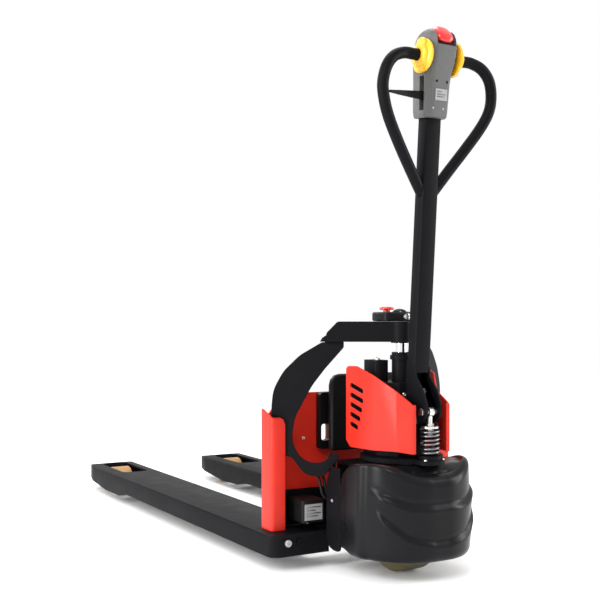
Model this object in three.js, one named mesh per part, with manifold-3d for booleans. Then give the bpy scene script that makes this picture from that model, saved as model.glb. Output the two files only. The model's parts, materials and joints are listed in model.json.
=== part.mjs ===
// A small electric pallet truck (powered pallet jack) as an assembly of separate pieces.
// Millimetres, +Z up, +Y towards the fork tips, +X to the operator's right. The operator stands at -Y.
// The floor is Z = 0 with the forks lowered, and the truck is centred on X = 0 and Y = 0.
import * as THREE from "three";
import { mergeVertices } from "three/addons/utils/BufferGeometryUtils.js";
import Module from "manifold-3d";

const wasm = await Module();
wasm.setup();

// ---------- driving dimensions ----------
// Inside the assembly, Y is measured from the vertical steering axis. STEER_AXIS_Y puts that axis in place.
const STEER_AXIS_Y = -642.27;
const GAP = 0.3; // between pieces that touch

const FORK_TIP = 1458; // from the steering axis to the tip of the forks
const FORK_HEEL = 105; // from the steering axis to the open rear end of the forks
const FORK_TOP = 85; // load surface, lowered
const FORK_WIDTH = 150;
const FORK_CENTRE = 205; // from the centre plane to the middle of each fork
const FORK_EDGE = 34; // height of the lower edge of the fork sides
const FORK_WALL = 6;

const LOAD_ROLLER_RADIUS = 40;
const LOAD_ROLLER_WIDTH = 70;
const LOAD_ROLLER_Y = 1310;
const BRACKET_PIVOT_Y = 1160;
const ROCKER_Y = 152; // the cross shaft that works both push rods
const LINK_Z = 48; // height of the bracket pivots and of the cross shaft
const LINK_ARM = 20; // pivot to push rod pin
const ENTRY_ROLLER_Y = 1394;

const DRIVE_WHEEL_RADIUS = 105;
const DRIVE_WHEEL_WIDTH = 70;
const COVER_HALF_WIDTH = 147;
const COVER_BOTTOM = 48;
const COVER_FRONT = -155;
const COVER_BACK = 31;
const COVER_TOP = 250;
const COVER_WALL = 4;
const TURNTABLE_TOP = 264;

const ARM_THICKNESS = 8;
const ARM_ANGLE = THREE.MathUtils.degToRad(35.2); // plan angle of each side arm from the X axis
const BEAM_LOW = 521;
const BEAM_HIGH = 568;

const PUMP_FRONT = -42; // face of the pump block that carries the tiller ears
const TILLER_PIVOT_Y = -78;
const TILLER_PIVOT_Z = 350;
const TILLER_LEAN = THREE.MathUtils.degToRad(4.3); // the sprung handle rests leaning towards the operator
const TUBE_WIDTH = 42;
const TUBE_DEPTH = 32;
const TUBE_AXIS = 21.6; // tube centre in front of the tiller pivot, across the tiller
const TUBE_END = 664.4;
const LOOP_RADIUS = 12.5;
const LOOP_PLANE = -6;
const KNOB_PLANE = 3; // the upper ends of the loops step back into the head
const HEAD_HALF = 37; // half the width of the control head
const KNOB_HEIGHT = 795; // along the tiller, from its pivot to the axis of the drive knobs
const EYE_Y = -106; // vertical axis of the return spring and its rod
const EYE_Z = 369;

// ---------- materials ----------
const finish = (color, roughness, metalness) =>
  new THREE.MeshStandardMaterial({ color, roughness, metalness });
const RED = finish(0xb5121b, 0.45, 0.1);
const BLACK = finish(0x17181a, 0.55, 0.05);
const DARK_GREY = finish(0x3a3c40, 0.5, 0.1);
const MOULDED_BLACK = finish(0x141516, 0.4, 0);
const GREY = finish(0x6d7175, 0.6, 0);
const ZINC = finish(0xb9bcc0, 0.35, 0.9);
const CHROME = finish(0xe3e5e8, 0.12, 1);
const STEEL = finish(0x8b8f94, 0.4, 0.9);
const TAN = finish(0xb08a52, 0.5, 0);
const OLIVE = finish(0x6d5a2c, 0.55, 0);
const YELLOW = finish(0xf2b500, 0.45, 0);
const LABEL = finish(0xc9ccd0, 0.5, 0);

// ---------- shape helpers ----------
// Corners are [u, v] or [u, v, radius]; a corner with a radius becomes an arc of a few steps.
function rounded(corners, steps = 3) {
  const points = [];
  corners.forEach(([u, v, radius], i) => {
    const here = new THREE.Vector2(u, v);
    if (!radius) {
      points.push(here);
      return;
    }
    const before = new THREE.Vector2(...corners.at(i - 1).slice(0, 2)).sub(here).normalize();
    const after = new THREE.Vector2(...corners[(i + 1) % corners.length].slice(0, 2)).sub(here).normalize();
    const half = Math.acos(THREE.MathUtils.clamp(before.dot(after), -1, 1)) / 2;
    const middle = before.clone().add(after).normalize().multiplyScalar(radius / Math.sin(half)).add(here);
    const start = here.clone().addScaledVector(before, radius / Math.tan(half)).sub(middle);
    const end = here.clone().addScaledVector(after, radius / Math.tan(half)).sub(middle);
    const from = start.angle();
    let turn = end.angle() - from;
    if (turn > Math.PI) turn -= 2 * Math.PI;
    if (turn < -Math.PI) turn += 2 * Math.PI;
    for (let k = 0; k <= steps; k++) {
      const angle = from + (turn * k) / steps;
      points.push(new THREE.Vector2(Math.cos(angle), Math.sin(angle)).multiplyScalar(radius).add(middle));
    }
  });
  return points;
}

const AXES = {
  x: [new THREE.Vector3(0, 1, 0), new THREE.Vector3(0, 0, 1), new THREE.Vector3(1, 0, 0)],
  y: [new THREE.Vector3(0, 0, 1), new THREE.Vector3(1, 0, 0), new THREE.Vector3(0, 1, 0)],
  z: [new THREE.Vector3(1, 0, 0), new THREE.Vector3(0, 1, 0), new THREE.Vector3(0, 0, 1)],
};
const turnTo = (axis) => new THREE.Matrix4().makeBasis(...AXES[axis]);

// An outline pushed along an axis from one coordinate to another. It is [y, z] along x, [x, z] along y
// and [x, y] along z.
function plate(axis, corners, from, to, { steps = 3, bevel = 0, bevelSteps = 1 } = {}) {
  const points = rounded(corners, steps);
  const shape = new THREE.Shape(axis === "y" ? points.map((p) => new THREE.Vector2(p.y, p.x)) : points);
  const geometry = new THREE.ExtrudeGeometry(shape, {
    depth: to - from - 2 * bevel,
    bevelEnabled: bevel > 0,
    bevelThickness: bevel,
    bevelSize: bevel,
    bevelOffset: -bevel,
    bevelSegments: bevelSteps,
  });
  return geometry.translate(0, 0, from + bevel).applyMatrix4(turnTo(axis));
}

function block([x0, x1], [y0, y1], [z0, z1]) {
  const geometry = new THREE.BoxGeometry(x1 - x0, y1 - y0, z1 - z0);
  return geometry.translate((x0 + x1) / 2, (y0 + y1) / 2, (z0 + z1) / 2);
}

// A round bar along an axis; its centre is the other two coordinates in x, y, z order.
function bar(axis, radius, from, to, [a, b] = [0, 0], sides = 20) {
  const geometry = new THREE.CylinderGeometry(radius, radius, to - from, sides).rotateX(Math.PI / 2);
  geometry.translate(0, 0, (from + to) / 2).applyMatrix4(turnTo(axis));
  const place = { x: [0, a, b], y: [a, 0, b], z: [a, b, 0] }[axis];
  return geometry.translate(...place);
}

// A turned piece: profile points are [radius, height along the axis], closed onto the axis or onto itself.
function turned(axis, profile, sides = 24, place = [0, 0, 0]) {
  const points = profile.map(([r, h]) => new THREE.Vector2(r, h));
  const geometry = new THREE.LatheGeometry(points, sides).rotateX(Math.PI / 2).applyMatrix4(turnTo(axis));
  return geometry.translate(...place);
}

function ring(axis, outer, inner, from, to, place = [0, 0, 0], sides = 24) {
  return turned(axis, [[inner, from], [outer, from], [outer, to], [inner, to], [inner, from]], sides, place);
}

function tubeAlong(points, radius, steps, sides = 10) {
  const shape = new THREE.Shape(
    Array.from({ length: sides }, (_, i) => {
      const angle = (2 * Math.PI * i) / sides;
      return new THREE.Vector2(radius * Math.cos(angle), radius * Math.sin(angle));
    }),
  );
  const path = new THREE.CatmullRomCurve3(points.map((p) => new THREE.Vector3(...p)), false, "centripetal");
  return new THREE.ExtrudeGeometry(shape, { steps, extrudePath: path, bevelEnabled: false });
}

function solidOf(geometry) {
  const bare = geometry.clone();
  bare.deleteAttribute("normal");
  bare.deleteAttribute("uv");
  const merged = mergeVertices(bare, 1e-3);
  const vertProperties = merged.attributes.position.array;
  const triVerts = new Uint32Array(merged.index.array);
  const solid = new wasm.Manifold(new wasm.Mesh({ numProp: 3, vertProperties, triVerts }));
  if (solid.volume() > 0) return solid;
  for (let i = 0; i < triVerts.length; i += 3) {
    [triVerts[i + 1], triVerts[i + 2]] = [triVerts[i + 2], triVerts[i + 1]];
  }
  return new wasm.Manifold(new wasm.Mesh({ numProp: 3, vertProperties, triVerts }));
}

function geometryOf(solid) {
  const mesh = solid.getMesh();
  const geometry = new THREE.BufferGeometry();
  geometry.setAttribute("position", new THREE.BufferAttribute(new Float32Array(mesh.vertProperties), 3));
  geometry.setIndex(new THREE.BufferAttribute(new Uint32Array(mesh.triVerts), 1));
  geometry.computeVertexNormals();
  return geometry;
}

const join = (...pieces) => geometryOf(pieces.map(solidOf).reduce((a, b) => a.add(b)));
const cut = (body, ...tools) => geometryOf(tools.map(solidOf).reduce((a, b) => a.subtract(b), solidOf(body)));
const common = (...pieces) => geometryOf(pieces.map(solidOf).reduce((a, b) => a.intersect(b)));

function piece(parent, name, geometry, material, place = [0, 0, 0]) {
  const mesh = new THREE.Mesh(geometryOf(solidOf(geometry)), material);
  mesh.name = name;
  mesh.position.set(...place);
  parent.add(mesh);
  return mesh;
}

const SIDES = [["left", -1], ["right", 1]];
const ends = (side, near, far) => (side > 0 ? [near, far] : [-far, -near]);
const mirrorX = (corners, side) => corners.map(([x, ...rest]) => [side * x, ...rest]);

// ---------- forks ----------
// The side of a fork: level lower edge, a shallow shoe under the load roller, and a raised tip.
const NOSE_FLAT = 2.93; // the blunt end of the nose, short of the nominal tip
const FORK_SIDE = [
  [FORK_HEEL, FORK_EDGE],
  [1035, FORK_EDGE, 60],
  [1105, 21, 60],
  [1235, 21, 160],
  [1372, 34, 60],
  [FORK_TIP - 24, 40, 18],
  [FORK_TIP - NOSE_FLAT, 51],
  [FORK_TIP - NOSE_FLAT, 59],
  [FORK_TIP - 22, 76, 26],
  [FORK_TIP - 84, FORK_TOP, 80],
  [FORK_HEEL, FORK_TOP],
];

function forkGeometry(sign) {
  const half = FORK_WIDTH / 2;
  const plan = [
    sign > 0 ? [-half, FORK_HEEL] : [-half, FORK_HEEL, 24],
    sign > 0 ? [half, FORK_HEEL, 24] : [half, FORK_HEEL],
    [half, FORK_TIP - 96, 90],
    [half - 12, FORK_TIP - 42, 50],
    [half - 36, FORK_TIP - 11, 40],
    [half - 60, FORK_TIP, 40],
    [-half + 60, FORK_TIP, 40],
    [-half + 36, FORK_TIP - 11, 40],
    [-half + 12, FORK_TIP - 42, 50],
    [-half, FORK_TIP - 96, 90],
  ];
  const section = [
    [-half, 0],
    [half, 0],
    [half, FORK_TOP, 9],
    [-half, FORK_TOP, 9],
  ];
  const outer = common(
    plate("x", FORK_SIDE, -half, half),
    plate("z", plan, 0, FORK_TOP + 1),
    plate("y", section, FORK_HEEL, FORK_TIP + 1, { steps: 2 }),
  );
  const inner = half - FORK_WALL;
  const roof = FORK_TOP - FORK_WALL;
  const closedEnd = FORK_HEEL + FORK_WALL;
  const hollowPlan = [[-inner, closedEnd], [inner, closedEnd, 18], [inner, 1361], [-inner, 1361]];
  const hollow = plate("z", mirrorX(hollowPlan, sign), 0, roof);
  const seatLength = [FORK_HEEL - 1, POST_FRONT + 1.5];
  const postSeat = block([-half - 1, half + 1], seatLength, [FORK_TOP - GAP, FORK_TOP + 1]);
  const cutOut = plate(
    "z",
    [
      [-41, 1150, 16],
      [41, 1150, 16],
      [41, 1350, 18],
      [20, 1372, 14],
      [-20, 1372, 14],
      [-41, 1350, 18],
    ],
    40,
    FORK_TOP + 1,
  );
  const entryPocket = block([-34, 34], [ENTRY_ROLLER_Y - 17, ENTRY_ROLLER_Y + 17], [0, 66]);
  const entryPin = bar("x", 4.3, -38, 38, [ENTRY_ROLLER_Y, 50], 12);
  const innerWall = [0, -sign * (half + 1)];
  const shaftHole = bar("x", 11, Math.min(...innerWall), Math.max(...innerWall), [ROCKER_Y, LINK_Z], 16);
  const bracketHoles = bar("x", 9.4, -half + 3, half - 3, [BRACKET_PIVOT_Y, LINK_Z], 16);
  return cut(outer, hollow, postSeat, cutOut, entryPocket, entryPin, shaftHole, bracketHoles);
}

// The push rod pins sit behind and above their pivots, so that a full swing carries them as far in front.
const PIN_BACK = LINK_ARM * 0.44;
const PIN_UP = LINK_ARM * 0.9;
const LUG_HALF = 4;
const linkLug = ([y, z]) =>
  plate("x", [[y - 13, z + 2], [y - 19, z + 26, 7], [y - 1, z + 26, 7], [y + 9, z + 2]], -LUG_HALF, LUG_HALF);
const linkHole = () => bar("x", 6.8, -LUG_HALF - 1, LUG_HALF + 1, [-PIN_BACK, PIN_UP], 12);

// A fork end carrying the load roller: two cheeks, a web between them, and the push rod lug on the pivot.
function rollerBracketGeometry() {
  const reach = LOAD_ROLLER_Y - BRACKET_PIVOT_Y;
  const drop = LOAD_ROLLER_RADIUS - LINK_Z;
  const cheek = [
    [-14, -12, 8],
    [reach, drop - 14, 12],
    [reach + 14, drop, 12],
    [reach, drop + 14, 12],
    [-14, 14, 8],
  ];
  const cheeks = SIDES.map(([, side]) => plate("x", cheek, ...ends(side, 37, 42)));
  const web = plate("x", [[24, -12, 3], [62, -13, 3], [62, 9, 3], [24, 9, 3]], -37.5, 37.5);
  const sleeve = bar("x", 11, -42, 42, [0, 0], 14);
  const pin = bar("x", 9, -70, 70, [0, 0], 14);
  const axle = bar("x", 10, -44, 44, [reach, drop], 14);
  return cut(join(web, ...cheeks, sleeve, pin, axle, linkLug([0, 0])), linkHole());
}

function loadRollerGeometry() {
  const half = LOAD_ROLLER_WIDTH / 2;
  const r = LOAD_ROLLER_RADIUS;
  return turned("x", [
    [10.5, -half],
    [r - 5, -half],
    [r, -half + 6],
    [r, half - 6],
    [r - 5, half],
    [10.5, half],
    [10.5, -half],
  ], 24);
}

function pushRodGeometry() {
  const pinZ = LINK_Z + PIN_UP;
  const rear = ROCKER_Y - PIN_BACK;
  const front = BRACKET_PIVOT_Y - PIN_BACK;
  const forkEnd = (y) =>
    cut(
      block([-10, 10], [y - 8, y + 8], [pinZ - 6, pinZ + 6]),
      block([-4.6, 4.6], [y - 9, y + 9], [pinZ - 7, pinZ + 7]),
    );
  const ends = [rear, front].map((y, i) =>
    join(
      forkEnd(y),
      block([-10, 10], i ? [y - 30, y - 21] : [y + 21, y + 30], [pinZ - 6, pinZ + 6]),
      block([-10, -4.6], i ? [y - 22, y] : [y, y + 22], [pinZ - 6, pinZ + 6]),
      block([4.6, 10], i ? [y - 22, y] : [y, y + 22], [pinZ - 6, pinZ + 6]),
      bar("x", 4.2, -10, 10, [y, pinZ], 12),
    ),
  );
  return join(...ends, bar("y", 6, rear + 28, front - 28, [0, pinZ], 10));
}

function rockerShaftGeometry() {
  const lugs = SIDES.map(([, side]) => cut(linkLug([0, 0]), linkHole()).translate(side * FORK_CENTRE, 0, 0));
  return join(bar("x", 10, -262, 262, [0, 0], 16), ...lugs);
}

function addForks(forkFrame) {
  for (const [side, sign] of SIDES) {
    const x = sign * FORK_CENTRE;
    piece(forkFrame, "fork_" + side, forkGeometry(sign), BLACK, [x, 0, 0]);
    piece(forkFrame, "roller_bracket_" + side, rollerBracketGeometry(), BLACK, [x, BRACKET_PIVOT_Y, LINK_Z]);
    piece(forkFrame, "load_roller_" + side, loadRollerGeometry(), TAN, [x, LOAD_ROLLER_Y, LOAD_ROLLER_RADIUS]);
    piece(forkFrame, "push_rod_" + side, pushRodGeometry(), ZINC, [x, 0, 0]);
    const entry = join(bar("x", 12, -32, 32, [0, 0], 18), bar("x", 4, -37.5, 37.5, [0, 0], 12));
    piece(forkFrame, "entry_roller_" + side, entry, ZINC, [x, ENTRY_ROLLER_Y, 50]);
  }
  piece(forkFrame, "rocker_shaft", rockerShaftGeometry(), ZINC, [0, ROCKER_Y, LINK_Z]);
}

// ---------- frame above the fork heels ----------
const POST_OUTER = 259; // from the centre plane to the outer face of each post
const POST_BACK = 146;
const POST_FRONT = 197;
const PLATE_TOP = 398;
const PLATE_BOTTOM = 170; // the black heel plate continues below the red one

// Hand slots beside the battery, through the tray and the back plate behind it.
const SLOT = [[85, 282, 6], [109, 282, 6], [109, 322, 6], [85, 322, 6]];
const traySlots = (from, to) => SIDES.map(([, sign]) => plate("y", mirrorX(SLOT, sign), from, to));

function addHeel(forkFrame) {
  const between = FORK_CENTRE - FORK_WIDTH / 2 - GAP;
  const beam = block([-between, between], [168, 204], [40, FORK_TOP]);
  const skirt = block([-252, 252], [190, 196], [FORK_TOP, PLATE_BOTTOM - GAP]);
  const seam = block([2 - between, between - 2], [190, 196], [FORK_TOP - 5, FORK_TOP + 2]);
  piece(forkFrame, "heel_crossmember", join(beam, skirt, seam), BLACK);
  const outline = [[252, PLATE_BOTTOM], [252, 340, 30], [206, PLATE_TOP, 30]];
  const panel = plate("y", [...outline, ...mirrorX(outline, -1).reverse()], 190, 196);
  piece(forkFrame, "back_plate", cut(panel, ...traySlots(189, 197)), RED);
  for (const [side, sign] of SIDES) {
    const angle = mirrorX([
      [POST_OUTER, POST_BACK, 9],
      [POST_OUTER, POST_FRONT],
      [POST_OUTER - 6, POST_FRONT],
      [POST_OUTER - 6, POST_BACK + 6, 3],
      [223, POST_BACK + 6],
      [223, POST_BACK],
    ], sign);
    const slopedTop = plate("x", [
      [POST_BACK - 2, 342],
      [POST_BACK + 8, 348, 6],
      [POST_FRONT + 2, 365],
      [POST_FRONT + 2, 400],
      [POST_BACK - 2, 400],
    ], ...ends(sign, 215, 262));
    const shoulder = [[251, 354], [238, 349], [228, 341], [222, 328], [215, 328], [215, 400], [251, 400]];
    const flangeTop = plate("y", mirrorX(shoulder, sign), POST_BACK - 2, POST_BACK + 6);
    piece(forkFrame, "post_" + side, cut(plate("z", angle, FORK_TOP, 386), slopedTop, flangeTop), RED);
  }
}

// Each side arm is a flat C-shaped plate standing on a diagonal between the post and the lift beam. Its
// outline is [distance from the steering axis, height].
const ARM_OUTLINE = [
  [156, BEAM_LOW],
  [183, 520, 12],
  [234, 490, 40],
  [272, 453, 60],
  [296, 410, 60],
  [300, 372, 20],
  [300, 262, 30],
  [253, 254, 20],
  [222, 212, 40],
  [180, 208, 20],
  [139, 256, 5],
  [152, 264, 4],
  [182, 241, 10],
  [226, 241, 30],
  [254, 288, 40],
  [246, 345, 60],
  [205, 420, 40],
  [176, 458, 30],
  [132, 508, 8],
  [132, BEAM_LOW],
];

// Turns a plate made in the X-Z plane with +X away from the axis onto the diagonal of one side.
const ontoDiagonal = (geometry, sign) => geometry.rotateZ(sign > 0 ? ARM_ANGLE : Math.PI - ARM_ANGLE);

function addLiftFrame(forkFrame) {
  for (const [side, sign] of SIDES) {
    const arm = plate("y", ARM_OUTLINE, -ARM_THICKNESS / 2, ARM_THICKNESS / 2);
    piece(forkFrame, "side_arm_" + side, ontoDiagonal(arm, sign), DARK_GREY);
  }
  const foot = BEAM_LOW + GAP;
  const thick = [[0, foot], [172, foot], [172, 541, 10], [146, BEAM_HIGH, 10], [0, BEAM_HIGH]];
  const thin = [[150, foot], [187, foot], [182, 530, 6], [150, 552]];
  const lug = (sign) => ontoDiagonal(join(plate("y", thick, -14, 14), plate("y", thin, -6, 6)), sign);
  const boss = bar("z", 24, BEAM_LOW - 2, BEAM_HIGH - 1, [0, 0], 28);
  piece(forkFrame, "lift_beam", join(boss, lug(-1), lug(1)), DARK_GREY);
  piece(forkFrame, "ram_rod", bar("z", 13.5, 330, BEAM_LOW - 2 - GAP, [0, 0], 28), CHROME);
}

const BOX_TOP = 590;
const KEY_X = 12;
const KEY_Z = 579;

function addPowerPack(forkFrame) {
  const caseOutline = [[-106, 262, 8], [106, 262, 8], [106, 443, 26], [-106, 443, 26]];
  piece(forkFrame, "battery_case", plate("y", caseOutline, 132, 150, { bevel: 4 }), BLACK);
  const packOutline = [[-70, 270, 6], [70, 270, 6], [70, 400, 10], [-70, 400, 10]];
  piece(forkFrame, "battery_pack", plate("y", packOutline, 150 + GAP, 172), GREY);
  const trayOutline = [[-114, 262, 6], [114, 262, 6], [114, PLATE_TOP, 10], [-114, PLATE_TOP, 10]];
  const tray = plate("y", trayOutline, 172 + GAP, 190 - GAP);
  piece(forkFrame, "battery_tray", cut(tray, ...traySlots(171, 191)), BLACK);
  const boxOutline = [[-42, 2, 8], [42, 2, 18], [42, 62, 18], [-42, 62, 8]];
  const box = plate("z", boxOutline, BEAM_HIGH + GAP, BOX_TOP, { bevel: 3 });
  const stopBore = bar("z", 8.4, BOX_TOP - 12, BOX_TOP + 1, [-20, 30], 16);
  const keyBore = bar("y", 6, 1, 18, [KEY_X, KEY_Z], 16);
  piece(forkFrame, "control_box", cut(box, stopBore, keyBore), BLACK);
  const mushroom = [[0, -7], [8, -7], [8, 4.6], [15, 4.8], [17, 6.5], [17, 8.5], [14, 11.5], [0, 12.5]];
  piece(forkFrame, "emergency_stop", turned("z", mushroom, 24), RED, [-20, 30, BOX_TOP]);
  const key = join(
    bar("y", 5.6, -4, 12, [0, 0], 16),
    plate("x", [[-3, -3], [-8, -8, 3], [-17, -8, 4], [-17, 8, 4], [-8, 8, 3], [-3, 3]], -1.2, 1.2),
  );
  piece(forkFrame, "key_switch", key, ZINC, [KEY_X, 2, KEY_Z]);
  const controller = plate("z", [[-198, 110, 6], [-138, 110, 6], [-138, 189.4], [-198, 189.4]], 104, 156);
  piece(forkFrame, "drive_controller", controller, BLACK);
  piece(forkFrame, "name_plate", block([-193, -146], [108.2, 110 - GAP], [110, 147]), LABEL);
}

// ---------- fixed chassis round the drive unit ----------
const coverPlan = (inset, back) => {
  const half = COVER_HALF_WIDTH - inset;
  const front = COVER_FRONT + inset;
  return [
    [-half, back],
    [-half, front, 128 - inset],
    [half, front, 128 - inset],
    [half, back],
  ];
};

function addChassis(chassis) {
  const platform = cut(
    join(
      plate("z", coverPlan(60, 60), 232, 240, { steps: 6 }),
      block([-90, 90], [50, 134], [232, 240]),
      block([-90, 90], [128, 134], [62, 236]),
    ),
    bar("z", 46, 230, 242, [0, 0], 32),
  );
  piece(chassis, "base_frame", platform, BLACK);
  piece(chassis, "slewing_ring", ring("z", 62, 46, 240 + GAP, 253.4), STEEL);
  const fine = { steps: 8 };
  const shell = plate("z", coverPlan(0, COVER_BACK), COVER_BOTTOM, COVER_TOP, fine);
  const innerPlan = coverPlan(COVER_WALL, COVER_BACK + 1);
  const inside = plate("z", innerPlan, COVER_BOTTOM - 1, COVER_TOP - COVER_WALL, fine);
  const hem = plate("x", [[COVER_FRONT - 1, 30], [COVER_BACK + 1, 30], [COVER_BACK + 1, 86], [-50, 84, 60],
    [-110, COVER_BOTTOM, 40], [COVER_FRONT - 1, COVER_BOTTOM]], -160, 160);
  const neck = bar("z", 64, COVER_TOP - 10, COVER_TOP + 1, [0, 0], 32);
  piece(chassis, "drive_cover", cut(shell, inside, hem, neck), MOULDED_BLACK);
  for (const [side, sign] of SIDES) {
    const flank = plate("x", [[33, 47, 12], [90, 47, 30], [90, 200, 20], [70, 236, 16], [33, 236]],
      ...ends(sign, COVER_HALF_WIDTH - 5.6, COVER_HALF_WIDTH));
    piece(chassis, "side_plate_" + side, flank, BLACK);
  }
}

// ---------- steering head: pump, drive unit and covers ----------
// The red side cover is folded sheet in plan; its upper edge climbs towards the forks.
const SHEET = 3;
const COVER_FOLDS = [[-42, -112], [-51, -112], [-57, -60], [-88, -11], [-99, 80]];

function sheetStrip(folds, thickness) {
  const outer = folds.map(([x, y]) => new THREE.Vector2(x, y));
  const offset = outer.map((p, i) => {
    const before = i > 0 ? p.clone().sub(outer[i - 1]).normalize() : outer[1].clone().sub(p).normalize();
    const after = i < outer.length - 1 ? outer[i + 1].clone().sub(p).normalize() : before;
    const bisector = before.clone().add(after).normalize();
    const normal = new THREE.Vector2(bisector.y, -bisector.x);
    return p.clone().addScaledVector(normal, thickness / Math.max(0.3, bisector.dot(before)));
  });
  return [...outer, ...offset.reverse()].map((p) => [p.x, p.y]);
}

function redCoverGeometry() {
  const strip = plate("z", sheetStrip(COVER_FOLDS, SHEET), 279, 470);
  const keep = plate("x", [[-117, 279], [66, 279, 10], [81, 296, 4], [81, 465, 12], [44, 466, 12],
    [-11, 448, 30], [-60, 412, 30], [-100, 392, 10], [-117, 381]], -110, -20);
  const slots = [0, 1, 2, 3, 4].map((row) => {
    const z = 417 - 22.3 * row;
    const end = 66 - [46, 46, 42, 36, 28][row];
    const drop = 0.33 * (66 - end);
    return plate("x", [[66, z, 5], [66, z + 12, 5], [end, z + 12 - drop, 5], [end, z - drop, 5]], -110, -60);
  });
  return cut(common(strip, keep), ...slots);
}

function addSteeringHead(steerHead) {
  const hub = join(
    bar("z", 95, 254, TURNTABLE_TOP, [0, 0], 40),
    plate("z", [[-32, -90], [-32, -132, 20], [32, -132, 20], [32, -90]], 254, TURNTABLE_TOP),
    bar("z", 45, 224, 255, [0, 0], 32),
  );
  piece(steerHead, "turntable", cut(hub, bar("z", 8, 250, 270, [0, EYE_Y], 16)), BLACK);
  const body = [[-38, PUMP_FRONT, 8], [38, PUMP_FRONT, 8], [66, 4, 8], [66, 60, 8], [-66, 60, 8], [-66, 4, 8]];
  const pump = cut(
    join(
      plate("z", body, TURNTABLE_TOP + GAP, 430),
      plate("z", [[-66, 6, 8], [-30, 6, 6], [-30, 60, 6], [-66, 60, 8]], 420, 480),
      plate("z", [[30, 6, 6], [60, 6, 8], [60, 56, 8], [30, 56, 6]], 420, 462),
    ),
    bar("z", 22.4, 250, 500, [0, 0], 32),
  );
  piece(steerHead, "pump_block", pump, BLACK);
  const tube = turned("z", [[0, 264.6], [22, 264.6], [22, 498], [14, 498], [14, 300], [0, 300]], 32);
  piece(steerHead, "lift_cylinder", tube, BLACK);
  piece(steerHead, "cylinder_collar", ring("z", 26, 22.3, 481, 491), BLACK);
  piece(steerHead, "tiller_lug", tillerLugGeometry(), BLACK);
  for (const [side, sign] of SIDES) {
    const cover = redCoverGeometry();
    const placed = sign < 0 ? cover : geometryOf(solidOf(cover).mirror([1, 0, 0]));
    piece(steerHead, "side_cover_" + side, placed, RED);
  }
  piece(steerHead, "spring_seat", ring("z", 25, 12.5, TURNTABLE_TOP + GAP, 273, [0, EYE_Y, 0]), BLACK);
  piece(steerHead, "return_spring", ring("z", 22, 17.5, 273 + GAP, 333, [0, EYE_Y, 0], 24), ZINC);
  addDriveUnit(steerHead);
}

// The fixed ears that carry the tiller pivot, on the operator side of the pump.
function tillerLugGeometry() {
  const root = PUMP_FRONT - GAP;
  const ear = plate("x", [[root, 300], [-58, 312, 8], [-70, 331, 8], [TILLER_PIVOT_Y - 12,
    TILLER_PIVOT_Z - 11, 11],
    [TILLER_PIVOT_Y - 9, TILLER_PIVOT_Z + 13, 12], [-60, 372, 8], [root, 384]], -12, 12);
  return cut(ear, bar("x", 8.4, -13, 13, [TILLER_PIVOT_Y, TILLER_PIVOT_Z], 16));
}

function addDriveUnit(steerHead) {
  const yoke = cut(
    join(
      bar("z", 52, 215, 224 - GAP, [0, 0], 32),
      block([-50, -40], [-46, 46], [80, 216]),
      block([40, 50], [-46, 46], [80, 216]),
    ),
    bar("x", 12.4, -51, 51, [0, DRIVE_WHEEL_RADIUS], 20),
  );
  piece(steerHead, "drive_yoke", yoke, BLACK);
  const motor = turned("x", [[0, 50 + GAP], [50, 50 + GAP], [52, 54], [52, 96], [44, 108], [0, 108]], 28);
  const axleHeight = [0, 0, DRIVE_WHEEL_RADIUS];
  piece(steerHead, "drive_motor", cut(motor, bar("x", 12.4, 49, 62, [0, 0], 20)), STEEL, axleHeight);
  const gearCase = turned("x", [[0, -74], [38, -74], [46, -66], [46, -50 - GAP], [0, -50 - GAP]], 28);
  piece(steerHead, "gear_case", cut(gearCase, bar("x", 12.4, -62, -49, [0, 0], 20)), STEEL, axleHeight);
  piece(steerHead, "drive_axle", bar("x", 12, -60, 60, [0, 0], 20), ZINC, axleHeight);
  const half = DRIVE_WHEEL_WIDTH / 2;
  const r = DRIVE_WHEEL_RADIUS;
  const tyre = [[78, -half], [r - 7, -half], [r, -half + 9], [r, half - 9], [r - 7, half], [78, half],
    [78, -half]];
  const wheelGroup = new THREE.Group();
  wheelGroup.position.set(0, 0, r);
  piece(wheelGroup, "drive_tyre", turned("x", tyre, 36), OLIVE);
  const hub = [[12.4, -34], [28, -34], [28, -14], [66, -14], [70, -34], [77.7, -34], [77.7, 34], [70, 34],
    [66, 14], [28, 14], [28, 34], [12.4, 34], [12.4, -34]];
  piece(wheelGroup, "drive_wheel_hub", turned("x", hub, 24), STEEL);
  steerHead.add(wheelGroup);
}

// ---------- tiller ----------
// The tiller group stands on its pivot with +Z along the handle and -Y towards the operator.
function tillerTubeGeometry() {
  const half = TUBE_WIDTH / 2;
  const back = TUBE_AXIS + TUBE_DEPTH / 2;
  const front = TUBE_AXIS - TUBE_DEPTH / 2;
  const outer = plate("z", [[-half, front, 5], [half, front, 5], [half, back, 5], [-half, back, 5]],
    60, TUBE_END);
  const bore = block([-half + 4, half - 4], [front + 4, back - 4], [50, TUBE_END - 20]);
  const window = block([-half + 4, half - 4], [front - 20, front + 5], [50, 104]);
  const cheek = [[front, 116], [back, 130], [back, 40, 30], [14, -13, 12], [-10, -13, 12], [-42, 12, 14],
    [-43, 36, 16], [-28, 66, 24], [front - 1, 98, 20]];
  const cheeks = SIDES.map(([, side]) => plate("x", cheek, ...ends(side, 17, half)));
  const tube = cut(join(outer, ...cheeks), bore, window);
  const eye = eyeInTiller();
  return cut(
    tube,
    bar("x", 8.4, -22, 22, [0, 0], 16),
    bar("x", 5.4, -22, 22, [eye.y, eye.z], 12),
  );
}

// The spring rod's eye, measured in the leaning frame of the tiller.
function eyeInTiller() {
  const eye = new THREE.Vector3(0, EYE_Y - TILLER_PIVOT_Y, EYE_Z - TILLER_PIVOT_Z);
  return eye.applyAxisAngle(new THREE.Vector3(1, 0, 0), -TILLER_LEAN);
}

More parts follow.
